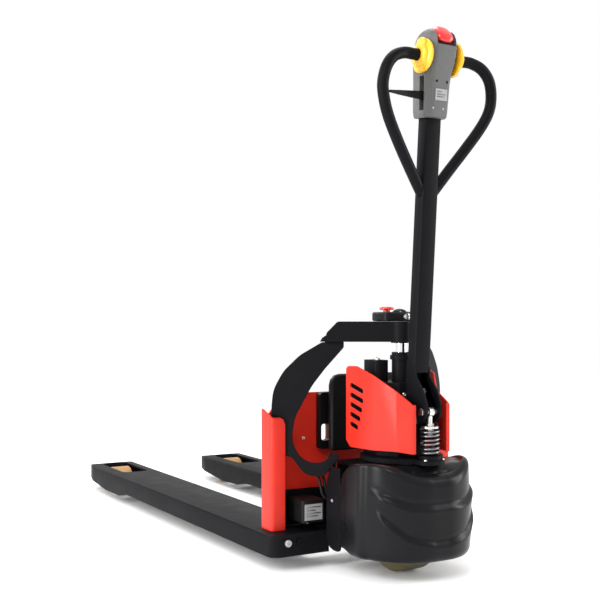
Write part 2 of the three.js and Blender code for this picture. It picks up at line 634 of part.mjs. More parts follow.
function handleLoopGeometry(sign) {
  const route = [
    [HEAD_HALF + 0.7, KNOB_PLANE, KNOB_HEIGHT],
    [66, KNOB_PLANE, KNOB_HEIGHT],
    [92, LOOP_PLANE + 7, KNOB_HEIGHT - 1],
    [120, LOOP_PLANE + 3, KNOB_HEIGHT - 12],
    [140, LOOP_PLANE, KNOB_HEIGHT - 36],
    [148, LOOP_PLANE, KNOB_HEIGHT - 70],
    [143, LOOP_PLANE, KNOB_HEIGHT - 104],
    [126, LOOP_PLANE + 5, KNOB_HEIGHT - 140],
    [94, LOOP_PLANE + 13, KNOB_HEIGHT - 187],
    [56, LOOP_PLANE + 21, KNOB_HEIGHT - 238],
    [14, LOOP_PLANE + 27.6, KNOB_HEIGHT - 294],
  ].map(([x, y, z]) => [sign * x, y, z]);
  const tubeSide = TUBE_WIDTH / 2 + GAP;
  const keepClear = block([-tubeSide, tubeSide], [-40, 60], [400, TUBE_END]);
  return cut(tubeAlong(route, LOOP_RADIUS, 30), keepClear);
}

const HEAD_SIDE = [
  [42, 665, 12],
  [50, 700, 16],
  [50, 814, 20],
  [28, 849, 18],
  [-3, 854, 16],
  [-28, 832, 14],
  [-28, 792, 14],
  [-13, 752, 24],
  [-13, 665, 12],
];
const HEAD_SPLIT = 18; // the parting line between the two head shells
const BUTTON_TILT = 0.735; // the top edge of the head is chamfered, and the safety button lies on it

function addHead(tiller) {
  const fullWidth = plate("x", HEAD_SIDE, -HEAD_HALF, HEAD_HALF, { bevel: 10, bevelSteps: 2 });
  const wide = HEAD_HALF + 1;
  const taper = [[-32, 660], [32, 660], [wide, 780, 40], [wide, 860], [-wide, 860], [-wide, 780, 40]];
  const whole = common(fullWidth, plate("y", taper, -40, 60));
  const cavity = join(
    block([-25, 25], [-3, 38], [678, 805]),
    block([-25, 25], [-17, 38], [798, 820]),
  );
  const leverSlot = block([-41, -24], [4, 20], [680, 752]);
  const buttonSeat = plate("x", [[-40, 818], [-40, 874], [19, 874], [16, 838, 6], [-13, 830, 4], [-22, 818, 3]],
    -25, 25);
  const rearHalf = block([-50, 50], [HEAD_SPLIT - GAP / 2, 60], [640, 860]);
  const frontHalf = block([-50, 50], [-60, HEAD_SPLIT + GAP / 2], [640, 860]);
  piece(tiller, "head_front_shell", cut(whole, cavity, leverSlot, buttonSeat, rearHalf), GREY);
  piece(tiller, "head_rear_shell", cut(whole, cavity, leverSlot, buttonSeat, frontHalf), GREY);
  piece(tiller, "belly_button", bellyButtonGeometry(), RED);
  const panel = block([-18, 18], [-14.9, -13 - GAP], [700, 727]);
  piece(tiller, "control_panel", panel, LABEL);
}

// An oval pillow over the chamfered top edge of the head.
function bellyButtonGeometry() {
  const side = [[-29, 823, 2], [-23.5, 839, 14], [-14, 850, 14], [-2, 858.5, 14], [13, 862, 5], [13, 842],
    [-13.5, 834.2, 3], [-20, 824.5, 2]];
  const oval = plate("z", [[-24, -29, 20], [24, -29, 20], [24, 29, 20], [-24, 29, 20]], -30, 30, { steps: 6 });
  return common(plate("x", side, -24, 24), oval.rotateX(BUTTON_TILT).translate(0, -9, 846));
}

// A butterfly knob round the end of the handle loop: a flange, a barrel, and a paddle above and below.
function knobGeometry(sign) {
  const bore = LOOP_RADIUS + 0.9;
  const body = join(
    ring("x", 36, bore, HEAD_HALF + 1, HEAD_HALF + 7, [0, 0, 0], 32),
    ring("x", 26, bore, HEAD_HALF + 6, HEAD_HALF + 19, [0, 0, 0], 28),
    plate("x", [[-16, 14], [-19, 33, 8], [4, 38, 8], [12, 20, 4], [10, 18]], HEAD_HALF + 5, HEAD_HALF + 13),
    plate("x", [[16, -14], [19, -33, 8], [-4, -38, 8], [-12, -20, 4], [-10, -18]], HEAD_HALF + 5,
      HEAD_HALF + 13),
  );
  return sign > 0 ? body : geometryOf(solidOf(body).mirror([1, 0, 0]));
}

function springRodGeometry() {
  const rod = join(
    bar("z", 6, 318 - EYE_Z, -6, [0, 0], 16),
    bar("x", 10.5, -6, 6, [0, 0], 20),
    bar("z", 19.5, 333.5 - EYE_Z, 337.5 - EYE_Z, [0, 0], 24),
    bar("z", 9.5, 337 - EYE_Z, 344 - EYE_Z, [0, 0], 6),
    bar("z", 9.5, 326 - EYE_Z, 334 - EYE_Z, [0, 0], 6),
  );
  return cut(rod, bar("x", 5.4, -8, 8, [0, 0], 12));
}

function addTiller(steerHead) {
  const tiller = new THREE.Group();
  tiller.position.set(0, TILLER_PIVOT_Y, TILLER_PIVOT_Z);
  tiller.rotation.x = TILLER_LEAN;
  steerHead.add(tiller);
  piece(tiller, "tiller_tube", tillerTubeGeometry(), BLACK);
  const boltHead = (from, to) => bar("x", 13, from, to, [0, 0], 6);
  const bolt = join(bar("x", 8, -24, 24), boltHead(-29, -21 - GAP), boltHead(21 + GAP, 29));
  piece(tiller, "tiller_pivot_bolt", bolt, ZINC);
  const eye = eyeInTiller();
  const pinHead = (from, to) => bar("x", 9, from, to, [0, 0], 6);
  const pin = join(bar("x", 5, -22, 22, [0, 0], 12), pinHead(-26, -21 - GAP), pinHead(21 + GAP, 26));
  piece(tiller, "spring_eye_pin", pin, ZINC, [0, eye.y, eye.z]);
  for (const [side, sign] of SIDES) {
    piece(tiller, "handle_loop_" + side, handleLoopGeometry(sign), BLACK);
    piece(tiller, "drive_knob_" + side, knobGeometry(sign), YELLOW, [0, KNOB_PLANE, KNOB_HEIGHT]);
  }
  addHead(tiller);
  const lever = join(
    plate("y", [[-34, -9], [-46, -10], [-116, -4], [-126, -3, 3], [-126, 4, 3], [-116, 5], [-46, 10], [-34, 9]],
      -3.2, 3.2),
    bar("y", 9, -3.2, 3.2, [-33, 0], 16),
  );
  piece(tiller, "lift_lever", lever, BLACK, [0, 12, 712]);
  piece(steerHead, "spring_rod", springRodGeometry(), ZINC, [0, EYE_Y, EYE_Z]);
}

// ---------- the whole truck ----------
function palletTruck() {
  const truck = new THREE.Group();
  truck.position.y = STEER_AXIS_Y;
  const [chassis, forkFrame, steerHead] = [0, 1, 2].map(() => {
    const group = new THREE.Group();
    truck.add(group);
    return group;
  });
  addChassis(chassis);
  addForks(forkFrame);
  addHeel(forkFrame);
  addLiftFrame(forkFrame);
  addPowerPack(forkFrame);
  addSteeringHead(steerHead);
  addTiller(steerHead);
  return truck;
}

const scene = new THREE.Group();
scene.add(palletTruck());
export default scene;
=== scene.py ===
# A powered pallet jack: detailed pieces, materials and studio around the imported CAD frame.
# Everything is in metres in the row frame: +Z up, +Y towards the fork tips, the operator at -Y.
# Shapes are laid out in millimetres from the vertical steering axis, and at() turns them into the row frame.
import json
import math

import bmesh
import bpy
from mathutils import Matrix, Vector


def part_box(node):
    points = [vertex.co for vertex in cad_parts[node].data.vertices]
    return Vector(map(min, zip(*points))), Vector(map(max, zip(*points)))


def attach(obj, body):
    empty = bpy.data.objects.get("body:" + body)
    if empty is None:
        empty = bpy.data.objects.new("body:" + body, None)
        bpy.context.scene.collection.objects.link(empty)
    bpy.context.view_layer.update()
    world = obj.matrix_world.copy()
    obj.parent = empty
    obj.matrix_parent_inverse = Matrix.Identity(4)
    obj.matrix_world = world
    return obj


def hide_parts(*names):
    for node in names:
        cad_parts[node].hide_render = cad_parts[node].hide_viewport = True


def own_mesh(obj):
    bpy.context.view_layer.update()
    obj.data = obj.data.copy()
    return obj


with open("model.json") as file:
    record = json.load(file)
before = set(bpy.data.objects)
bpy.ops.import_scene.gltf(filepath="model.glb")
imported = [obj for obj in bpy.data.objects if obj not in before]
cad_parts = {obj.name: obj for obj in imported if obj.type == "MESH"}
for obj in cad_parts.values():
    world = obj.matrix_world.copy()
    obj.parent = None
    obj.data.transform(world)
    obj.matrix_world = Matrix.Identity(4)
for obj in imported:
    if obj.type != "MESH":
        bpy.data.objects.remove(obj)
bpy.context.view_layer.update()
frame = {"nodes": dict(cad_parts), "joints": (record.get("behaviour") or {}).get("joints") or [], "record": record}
NODES = frame["nodes"]
JOINTS = {joint["name"]: joint for joint in frame["joints"]}

MM = 0.001
SIDES = (("left", -1), ("right", 1))
STEER_Y = sum(corner.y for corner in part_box("drive_tyre")) / 2
PIVOT = Vector(JOINTS["tiller_tilt"]["pos_m"])
TILLER_LEAN = math.radians(4.3)
LEAN = Matrix.Rotation(TILLER_LEAN, 3, "X")
SAME_POINT = 1e-6  # points closer together than this are one point


def at(x, y, z):
    """A point in millimetres from the steering axis, as a point in the row frame."""
    return Vector((x * MM, STEER_Y + y * MM, z * MM))


def on_tiller(x, y, z):
    """A point in millimetres from the tiller pivot, with z along the leaning handle, in the row frame."""
    return PIVOT + LEAN @ (Vector((x, y, z)) * MM)


# ---------- mesh helpers ----------
def mesh_piece(name, verts, faces):
    """A smooth-shaded mesh object; points that fall together are joined."""
    mesh = bpy.data.meshes.new(name)
    work = bmesh.new()
    made = [work.verts.new(v) for v in verts]
    for face in faces:
        work.faces.new([made[i] for i in face])
    bmesh.ops.remove_doubles(work, verts=work.verts, dist=SAME_POINT)
    bmesh.ops.recalc_face_normals(work, faces=work.faces)
    work.to_mesh(mesh)
    work.free()
    for polygon in mesh.polygons:
        polygon.use_smooth = True
    obj = bpy.data.objects.new(name, mesh)
    bpy.context.scene.collection.objects.link(obj)
    return obj


def skin(name, rows, ring=True, loop=False):
    """A surface through rows of points. A ring closes each row, a loop joins the last row to the first."""
    n, count = len(rows[0]), len(rows)
    faces = []
    for i in range(count if loop else count - 1):
        a, b = i * n, ((i + 1) % count) * n
        for j in range(n if ring else n - 1):
            k = (j + 1) % n
            faces.append((a + j, a + k, b + k, b + j))
    if ring and not loop:
        faces.append(tuple(reversed(range(n))))
        faces.append(tuple(range((count - 1) * n, count * n)))
    return mesh_piece(name, [p for row in rows for p in row], faces)


def circle(count):
    """The cosines and sines of evenly spread angles."""
    angles = [2 * math.pi * k / count for k in range(count)]
    return [(math.cos(angle), math.sin(angle)) for angle in angles]


def squared(value, power):
    """Bends one coordinate of a circle towards that of a rounded square."""
    return math.copysign(abs(value) ** power, value)


def rounded(corners, steps=8):
    """An outline from (u, v) or (u, v, radius) corners; a corner with a radius becomes an arc."""
    points = []
    for i, corner in enumerate(corners):
        here = Vector(corner[:2])
        if len(corner) < 3:
            points.append(here)
            continue
        before = (Vector(corners[i - 1][:2]) - here).normalized()
        after = (Vector(corners[(i + 1) % len(corners)][:2]) - here).normalized()
        half = math.acos(max(-1, min(1, before.dot(after)))) / 2
        reach = corner[2] / math.tan(half)
        middle = here + (before + after).normalized() * (corner[2] / math.sin(half))
        start, end = here + before * reach - middle, here + after * reach - middle
        turn = math.atan2(start.x * end.y - start.y * end.x, start.dot(end))
        for k in range(steps + 1):
            points.append(Matrix.Rotation(turn * k / steps, 2) @ start + middle)
    return points


def prism(name, outline, place, low, high):
    """An outline pushed from low to high; place(u, v, w) puts a point in the row frame."""
    rows = [[place(p.x, p.y, w) for p in outline] for w in (low, high)]
    return skin(name, rows)


def turned(name, profile, place, sides=64):
    """A turned piece from (radius, height) points; place(u, v, h) puts a point in the row frame."""
    rows = []
    for radius, height in profile:
        rows.append([place(radius * c, radius * s, height) for c, s in circle(sides)])
    closed = profile[0] == profile[-1]
    return skin(name, rows[:-1] if closed else rows, loop=closed)


def smooth_path(points, steps=10):
    """A Catmull-Rom curve through the points."""
    path = []
    for i in range(len(points) - 1):
        a, b, c, d = (points[max(0, min(len(points) - 1, k))] for k in (i - 1, i, i + 1, i + 2))
        for k in range(steps):
            t = k / steps
            path.append(0.5 * (2 * b + (c - a) * t + (2 * a - 5 * b + 4 * c - d) * t * t
                               + (3 * b - a - 3 * c + d) * t * t * t))
    return path + [points[-1]]


def tube(name, path, radius, sides=24):
    """A round tube along a list of points; radius is in metres, and may be a list with one value each."""
    rows = []
    side = None
    for i, point in enumerate(path):
        along = (path[min(i + 1, len(path) - 1)] - path[max(i - 1, 0)]).normalized()
        if side is None:
            side = along.orthogonal().normalized()
        side = (side - along * side.dot(along)).normalized()
        other = along.cross(side)
        r = radius[i] if isinstance(radius, list) else radius
        rows.append([point + (side * c + other * s) * r for c, s in circle(sides)])
    return skin(name, rows)


def soften(obj, width, segments=3, angle=32):
    """Rounds the edges that are sharper than the angle; the width is in millimetres."""
    bevel = obj.modifiers.new("edges", "BEVEL")
    bevel.width = width * MM
    bevel.segments = segments
    bevel.limit_method = "ANGLE"
    bevel.angle_limit = math.radians(angle)
    bevel.harden_normals = True
    return obj


def apply_modifiers(obj):
    """Turns the modifiers so far into plain mesh."""
    bpy.context.view_layer.update()
    result = bpy.data.meshes.new_from_object(obj.evaluated_get(bpy.context.evaluated_depsgraph_get()))
    obj.modifiers.clear()
    obj.data = result
    for polygon in result.polygons:
        polygon.use_smooth = True
    return obj


def carve(obj, *tools, operation="DIFFERENCE"):
    """Cuts the tools out of obj, or joins them to it, and removes them."""
    for tool in tools:
        boolean = obj.modifiers.new("carve", "BOOLEAN")
        boolean.operation = operation
        boolean.solver = "EXACT"
        boolean.object = tool
    apply_modifiers(obj)
    for tool in tools:
        bpy.data.objects.remove(tool)
    return obj


def slab(name, place, x, y, z):
    """A box between pairs of limits."""
    corners = [Vector((x[0], y[0])), Vector((x[1], y[0])), Vector((x[1], y[1])), Vector((x[0], y[1]))]
    return prism(name, corners, place, *z)


# ---------- materials ----------
def material(name, colour, roughness, metallic=0.0, grain=700, bump=0.2, depth=0.15, mottle=0.12, spread=0.08,
             worn=None, coat=0.0, specular=0.5):
    """A finish with colour drift, uneven gloss, surface grain and lighter edges where it wears."""
    made = bpy.data.materials.new(name)
    made.use_nodes = True
    nodes, links = made.node_tree.nodes, made.node_tree.links
    shader = nodes["Principled BSDF"]
    shader.inputs["Metallic"].default_value = metallic
    shader.inputs["Coat Weight"].default_value = coat
    shader.inputs["Coat Roughness"].default_value = 0.12
    shader.inputs["Specular IOR Level"].default_value = specular
    where = nodes.new("ShaderNodeTexCoord").outputs["Object"]

    def noise(scale, detail=3.0):
        texture = nodes.new("ShaderNodeTexNoise")
        texture.inputs["Scale"].default_value = scale
        texture.inputs["Detail"].default_value = detail
        links.new(where, texture.inputs["Vector"])
        return texture.outputs["Fac"]

    def ramp(source, low, high, first, last):
        made_ramp = nodes.new("ShaderNodeValToRGB")
        made_ramp.color_ramp.elements[0].position = low
        made_ramp.color_ramp.elements[1].position = high
        made_ramp.color_ramp.elements[0].color = (*first, 1)
        made_ramp.color_ramp.elements[1].color = (*last, 1)
        links.new(source, made_ramp.inputs["Fac"])
        return made_ramp.outputs["Color"]

    def mixed(share, first, last):
        mix = nodes.new("ShaderNodeMix")
        mix.data_type = "RGBA"
        links.new(share, mix.inputs[0])
        links.new(first, mix.inputs[6])
        links.new(last, mix.inputs[7])
        return mix.outputs[2]

    dark = tuple(c * (1 - mottle) for c in colour)
    light = tuple(min(1, c * (1 + mottle)) for c in colour)
    base = ramp(noise(9, 5), 0.35, 0.65, dark, light)
    if worn:
        edges = ramp(nodes.new("ShaderNodeNewGeometry").outputs["Pointiness"], 0.6, 0.7, (0, 0, 0), (1, 1, 1))
        patchy = ramp(noise(55, 6), 0.48, 0.6, (0, 0, 0), (0.75, 0.75, 0.75))
        mask = nodes.new("ShaderNodeMath")
        mask.operation = "MULTIPLY"
        links.new(edges, mask.inputs[0])
        links.new(patchy, mask.inputs[1])
        bare = nodes.new("ShaderNodeRGB")
        bare.outputs[0].default_value = (*worn, 1)
        base = mixed(mask.outputs[0], base, bare.outputs[0])
    links.new(base, shader.inputs["Base Color"])
    gloss = nodes.new("ShaderNodeMapRange")
    gloss.inputs["To Min"].default_value = max(0.02, roughness - spread)
    gloss.inputs["To Max"].default_value = min(1, roughness + spread)
    links.new(noise(24, 6), gloss.inputs["Value"])
    links.new(gloss.outputs["Result"], shader.inputs["Roughness"])
    relief = nodes.new("ShaderNodeBump")
    relief.inputs["Strength"].default_value = bump
    relief.inputs["Distance"].default_value = depth * MM
    links.new(noise(grain, 2), relief.inputs["Height"])
    links.new(relief.outputs["Normal"], shader.inputs["Normal"])
    return made


FINISH = {
    "red_paint": material("red_paint", (0.52, 0.018, 0.008), 0.36, grain=420, bump=0.12, mottle=0.06,
                          worn=(0.8, 0.14, 0.08), specular=0.25),
    "black_paint": material("black_paint", (0.0045, 0.0045, 0.0055), 0.48, grain=520, bump=0.35, depth=0.2,
                            mottle=0.12, worn=(0.03, 0.03, 0.03), specular=0.06),
    "moulded_black": material("moulded_black", (0.005, 0.005, 0.006), 0.3, grain=900, bump=0.2,
                              mottle=0.1, worn=(0.03, 0.03, 0.035), specular=0.12),
    "grey_plastic": material("grey_plastic", (0.088, 0.090, 0.088), 0.48, grain=1100, bump=0.3, mottle=0.07,
                             worn=(0.16, 0.16, 0.16), specular=0.3),
    "black_plastic": material("black_plastic", (0.0045, 0.0045, 0.005), 0.4, grain=1000, bump=0.25,
                              mottle=0.12, worn=(0.03, 0.03, 0.03), specular=0.14),
    "yellow_plastic": material("yellow_plastic", (0.80, 0.40, 0.008), 0.38, grain=900, bump=0.12, mottle=0.05,
                               coat=0.2),
    "red_plastic": material("red_plastic", (0.60, 0.010, 0.008), 0.28, grain=800, bump=0.08, mottle=0.05,
                            coat=0.4),
    "zinc": material("zinc", (0.66, 0.66, 0.64), 0.32, metallic=1.0, grain=1300, bump=0.15, mottle=0.12,
                     worn=(0.8, 0.8, 0.8)),
    "steel": material("steel", (0.42, 0.43, 0.44), 0.38, metallic=1.0, grain=1200, bump=0.2, mottle=0.15),
    "chrome": material("chrome", (0.86, 0.87, 0.88), 0.09, metallic=1.0, grain=300, bump=0.02, mottle=0.04,
                       spread=0.04),
    "roller_polyurethane": material("roller_polyurethane", (0.33, 0.18, 0.06), 0.42, grain=600, bump=0.2,
                                    mottle=0.18),
    "tyre_polyurethane": material("tyre_polyurethane", (0.075, 0.06, 0.02), 0.5, grain=500, bump=0.35,
                                  mottle=0.3),
    "label_film": material("label_film", (0.26, 0.26, 0.26), 0.4, grain=1500, bump=0.1, mottle=0.1),
}
# Near-black matte finish: painted shade for the floor of the lever slot in the head.
SLOT_SHADE_FINISH = material("painted_slot_shade", (0.006, 0.006, 0.007), 0.7, grain=900, bump=0.2)
SPRING_STEEL = material("spring_steel", (0.20, 0.20, 0.21), 0.36, metallic=1.0, grain=900, bump=0.1)
PRINT = material("label_print", (0.10, 0.10, 0.11), 0.5, grain=1500, bump=0.1)


def dress(obj, slot, finish=None):
    """Gives a piece one finish: its slot's own, or another one."""
    obj.data.materials.clear()
    obj.data.materials.append(finish or FINISH[slot])
    return obj


def add(obj, body, slot, *stands_for, finish=None):
    """Gives a finished piece its finish and its body, and hides the CAD nodes that it stands for."""
    dress(obj, slot, finish)
    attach(obj, body)
    if stands_for:
        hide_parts(*stands_for)
    return obj


def detail_cad(name, slot, edge):
    """Cleans the facets of a CAD node with modifiers, rounds its edges and gives it its finish."""
    obj = NODES[name]
    for attribute in ("custom_normal", "sharp_edge", "sharp_face"):
        if attribute in obj.data.attributes:
            obj.data.attributes.remove(obj.data.attributes[attribute])
    for polygon in obj.data.polygons:
        polygon.use_smooth = True
    weld = obj.modifiers.new("weld", "WELD")
    weld.merge_threshold = 1e-5
    flat = obj.modifiers.new("flat", "DECIMATE")
    flat.decimate_type = "DISSOLVE"
    flat.angle_limit = math.radians(1.0)
    soften(obj, edge, segments=2)
    obj.data.materials.clear()
    obj.data.materials.append(FINISH[slot])


# How far the edges of the CAD pieces are rounded, by the start of their names.
PLAIN_EDGE = 0.5
EDGE = {"fork": 2.0, "side_arm": 1.2, "lift_beam": 3.0, "post": 1.2, "back_plate": 1.0, "side_cover": 0.9,
        "tiller_tube": 1.5, "pump_block": 2.5, "battery": 1.5, "drive_controller": 2.0, "side_plate": 1.2,
        "heel_crossmember": 2.0, "turntable": 1.5, "base_frame": 1.5, "control_box": 1.5}
for part in frame["record"]["subparts"]:
    edge = next((width for start, width in EDGE.items() if part["node"].startswith(start)), PLAIN_EDGE)
    detail_cad(part["node"], part["material_slot"], edge)


# ---------- camera, light and floor ----------
CAMERA_LENS = 59.28
CAMERA_SHIFT = 0.03
CAMERA_PLACE = at(-1343, -1845, 576)
CAMERA_YAW = math.radians(30.2)
LIGHT_TARGET = at(0, 250, 450)
# Name, place, width, height and power.
LIGHTS = [
    ("key", (-2.2, -2.6, 2.9), 1.0, 1.0, 45),
    ("left_strip", (-2.7, -0.75, 1.1), 0.4, 2.2, 75),
    ("right_strip", (2.5, -1.9, 1.3), 0.4, 2.2, 55),
    ("back", (-0.8, 3.0, 2.6), 2.0, 1.0, 45),
    ("top", (0.2, 0.2, 3.2), 1.4, 1.4, 35),
]
FLOOR_HALF = 9
FLOOR_DROP = 0.0005


def studio():
    camera = bpy.data.objects.new("camera", bpy.data.cameras.new("camera"))
    camera.data.lens = CAMERA_LENS
    camera.data.shift_y = CAMERA_SHIFT
    camera.location = CAMERA_PLACE
    ahead = Vector((math.sin(CAMERA_YAW), math.cos(CAMERA_YAW), 0))
    camera.rotation_euler = ahead.to_track_quat("-Z", "Y").to_euler()
    corners = [(u * FLOOR_HALF, v * FLOOR_HALF, 0) for u, v in ((-1, -1), (1, -1), (1, 1), (-1, 1))]
    floor = mesh_piece("floor", corners, [(0, 1, 2, 3)])
    floor.location.z = -FLOOR_DROP
    pale = material("floor_finish", (1.0, 1.0, 1.0), 0.7, grain=40, bump=0.02, mottle=0.0)
    floor.data.materials.append(pale)
    bpy.context.scene.collection.objects.link(camera)
    bpy.context.scene.camera = camera
    for name, place, width, height, power in LIGHTS:
        light = bpy.data.objects.new("light_" + name, bpy.data.lights.new("light_" + name, "AREA"))
        light.data.shape = "RECTANGLE"
        light.data.size = width
        light.data.size_y = height
        light.data.energy = power
        light.location = Vector(place)
        light.rotation_euler = (LIGHT_TARGET - light.location).to_track_quat("-Z", "Y").to_euler()
        bpy.context.scene.collection.objects.link(light)
    world = bpy.data.worlds.new("studio")
    world.use_nodes = True
    world.node_tree.nodes["Background"].inputs["Color"].default_value = (1, 1, 1, 1)
    world.node_tree.nodes["Background"].inputs["Strength"].default_value = 1.0
    bpy.context.scene.world = world
    bpy.context.scene.view_settings.view_transform = "Standard"


# ---------- moulded drive cover ----------
HOOD_HALF, HOOD_FRONT, HOOD_BACK, HOOD_CORNER = 147, -155, 31, 128
HOOD_INSET = 7  # the wall stands this far inside its plan, so that the folds reach the plan
HOOD_FOOT, HOOD_FOOT_ROUND = 46, 20
HOOD_FOOT_RISE = 44  # how far the lower edge climbs towards the right flank
HOOD_BELLY = 2.5
HOOD_SHELF, HOOD_NECK = 250.5, 66  # the flat top, and the radius of its opening
HOOD_WALL = 3.5
WALL_STEPS, CREST_STEPS, SHELF_STEPS = 84, 9, 5
# Angle round the cover from the middle of its front: 90 is where the flat flank starts, 120 its back edge.
CREST = [(0, 234), (15, 236), (30, 244), (50, 256), (65, 259), (80, 257), (92, 254), (102, 248), (111, 236),
         (117, 220), (120, 200)]
ROUNDING = [(0, 26), (30, 20), (50, 14), (65, 10), (80, 7), (120, 7)]
FIRST_FOLD = [(0, 174), (28, 178), (52, 198), (70, 208), (85, 213), (120, 215)]
SECOND_FOLD = [(0, 95), (28, 110), (42, 131), (52, 147), (63, 166), (120, 190)]
# Each fold's line, how far its lip stands out, the angle where it starts to fade and the width of the fade.
FOLDS = [(FIRST_FOLD, 7.5, 52, 22), (SECOND_FOLD, 6.5, 44, 24)]
LIP_START, LIP_RISE, LIP_FALL = -4, 20, 44
GROOVE_DEPTH, GROOVE_WIDTH = 1.6, 7


def between(table, x):
    """A smooth curve through the points of a short table."""
    for i, ((x0, y0), (x1, y1)) in enumerate(zip(table, table[1:])):
        if x <= x1:
            before, after = table[max(i - 1, 0)], table[min(i + 2, len(table) - 1)]
            t = (x - x0) / (x1 - x0)
            start = (y1 - before[1]) / (x1 - before[0]) * (x1 - x0)
            end = (after[1] - y0) / (after[0] - x0) * (x1 - x0)
            return (y0 * (2 * t**3 - 3 * t**2 + 1) + start * (t**3 - 2 * t**2 + t)
                    + y1 * (3 * t**2 - 2 * t**3) + end * (t**3 - t**2))
    return table[-1][1]


def ease(t):
    """A smooth step from 0 to 1; it stays flat outside that range."""
    t = max(0.0, min(1.0, t))
    return t * t * (3 - 2 * t)


def hood_plan():
    """(angle from the front, side, x, y, outward x, outward y) from the left back edge to the right one."""
    flat_half = HOOD_HALF - HOOD_CORNER
    corner_y = HOOD_FRONT + HOOD_CORNER
    half = []
    for k in range(10):
        half.append((120 - 3 * k, -HOOD_HALF, HOOD_BACK + (corner_y - HOOD_BACK) * k / 10, -1.0, 0.0))
    for k in range(46):
        turn = 90 - 2 * k
        c, s = math.cos(math.radians(90 - turn)), math.sin(math.radians(90 - turn))
        half.append((turn, -flat_half - HOOD_CORNER * c, corner_y - HOOD_CORNER * s, -c, -s))
    for k in range(1, 4):
        half.append((0, -flat_half * (1 - k / 4), HOOD_FRONT, 0.0, -1.0))
    left = [(turn, -1, *rest) for turn, *rest in half]
    middle = [(0, 1, 0.0, HOOD_FRONT, 0.0, -1.0)]
    right = [(turn, 1, -x, y, -nx, ny) for turn, x, y, nx, ny in reversed(half)]
    return left + middle + right


def hood_relief(turn, z):
    """How far the wall stands out: each fold is a groove over a soft lip that catches the light."""
    out = 0.0
    for fold, reach, fade_start, fade_width in FOLDS:
        fade = 1 - ease((turn - fade_start) / fade_width)
        below = between(fold, turn) - z
        past = below - LIP_START
        out += reach * fade * ease(past / LIP_RISE) * math.exp(-max(0, past - LIP_RISE) / LIP_FALL)
        out -= GROOVE_DEPTH * fade * math.exp(-(((below - 1) / GROOVE_WIDTH) ** 2))
    return out


def hood_column(turn, side, x, y, nx, ny):
    """One line of the cover, from its lower edge over the crest to the opening round the steering head."""
    crest, radius = between(CREST, turn), between(ROUNDING, turn)
    # The lower edge climbs along the whole right flank, and on the left only near the back edge.
    lift = ease((turn - 50) / 12) if side > 0 else ease((turn - 100) / 20) * 0.25
    foot = HOOD_FOOT + HOOD_FOOT_RISE * lift
    foot_round = HOOD_FOOT_ROUND * (1 - lift)
    top = crest - radius
    # The back band of each flank stands out to the plan, so it ends in an upright ridge.
    set_in = HOOD_INSET * (1 - ease((turn - 73) / 11))
    belly_share = 1 - ease((turn - 105) / 15)

    def put(inset, z):
        return at(x - nx * (set_in + inset), y - ny * (set_in + inset), z)

    column = []
    for k in range(WALL_STEPS + 1):
        z = foot + (top - foot) * k / WALL_STEPS
        inset = 0.0
        if z < foot + foot_round:
            inset = foot_round - math.sqrt(max(0, foot_round**2 - (foot + foot_round - z) ** 2))
        belly = HOOD_BELLY * belly_share * math.sin(math.pi * k / WALL_STEPS)
        column.append(put(0.7 * inset - hood_relief(turn, z) - belly, z))
    for k in range(1, CREST_STEPS + 1):
        angle = math.pi / 2 * k / CREST_STEPS
        column.append(put(radius * (1 - math.cos(angle)), top + radius * math.sin(angle)))
    shelf = min(crest - 1, HOOD_SHELF)
    column.append(put(radius + 3, crest - 0.35 * (crest - shelf)))
    inner = put(radius + 9, shelf)
    column.append(inner)
    bearing = math.radians(min(118, turn))
    rim = at(side * HOOD_NECK * math.sin(bearing), -HOOD_NECK * math.cos(bearing), HOOD_SHELF)
    steepness = 4.0 if turn < 50 else 2.2
    for k in range(1, SHELF_STEPS + 1):
        t = k / SHELF_STEPS
        point = inner.lerp(rim, t)
        point.z = (shelf + (HOOD_SHELF - shelf) * ease(t * steepness)) * MM
        column.append(point)
    column.append(rim - Vector((0, 0, 5 * MM)))
    return column


def drive_cover():
    columns = [hood_column(*spot) for spot in hood_plan()]
    cover = skin("drive_hood", list(zip(*columns)), ring=False)
    shell = cover.modifiers.new("wall", "SOLIDIFY")
    shell.thickness = HOOD_WALL * MM
    shell.offset = -1
    soften(cover, 0.8, 2, 50)
    return add(cover, "chassis", "moulded_black", "drive_cover")


# ---------- side arms and frame details ----------
# Each arm is a flat plate; its outline is (distance out along the plate, height, radius).
ARM_ANGLE = math.radians(35.2)
ARM_HALF = 4
ARM_TOP = 521
ARM_OUTLINE = [(156, ARM_TOP), (183, 520, 12), (234, 490, 90), (272, 453, 90), (296, 410, 90),
               (300, 372, 120), (300, 262, 30), (253, 254, 20), (222, 212, 40), (180, 208, 20),
               (139, 256, 5), (152, 264, 4), (182, 241, 30), (226, 241, 48), (254, 288, 60),
               (246, 345, 100), (205, 420, 150), (176, 458, 150), (132, 508, 8), (132, ARM_TOP)]


def side_arm(side, sign):
    def place(out, z, across):
        x = sign * (out * math.cos(ARM_ANGLE) - across * math.sin(ARM_ANGLE))
        return at(x, out * math.sin(ARM_ANGLE) + across * math.cos(ARM_ANGLE), z)

    arm = prism("arm_plate_" + side, rounded(ARM_OUTLINE, 9), place, -ARM_HALF, ARM_HALF)
    soften(arm, 1.3, 3, 40)
    add(arm, "fork_frame", "black_paint", "side_arm_" + side)
    seam = [place(out, ARM_TOP, ARM_HALF + 1) for out in range(134, 182, 6)]
    ripple = [(1.6 + 0.5 * (k % 2)) * MM for k in range(len(seam))]
    bead = tube("arm_weld_" + side, seam, ripple, 10)
    add(bead, "fork_frame", "black_paint")


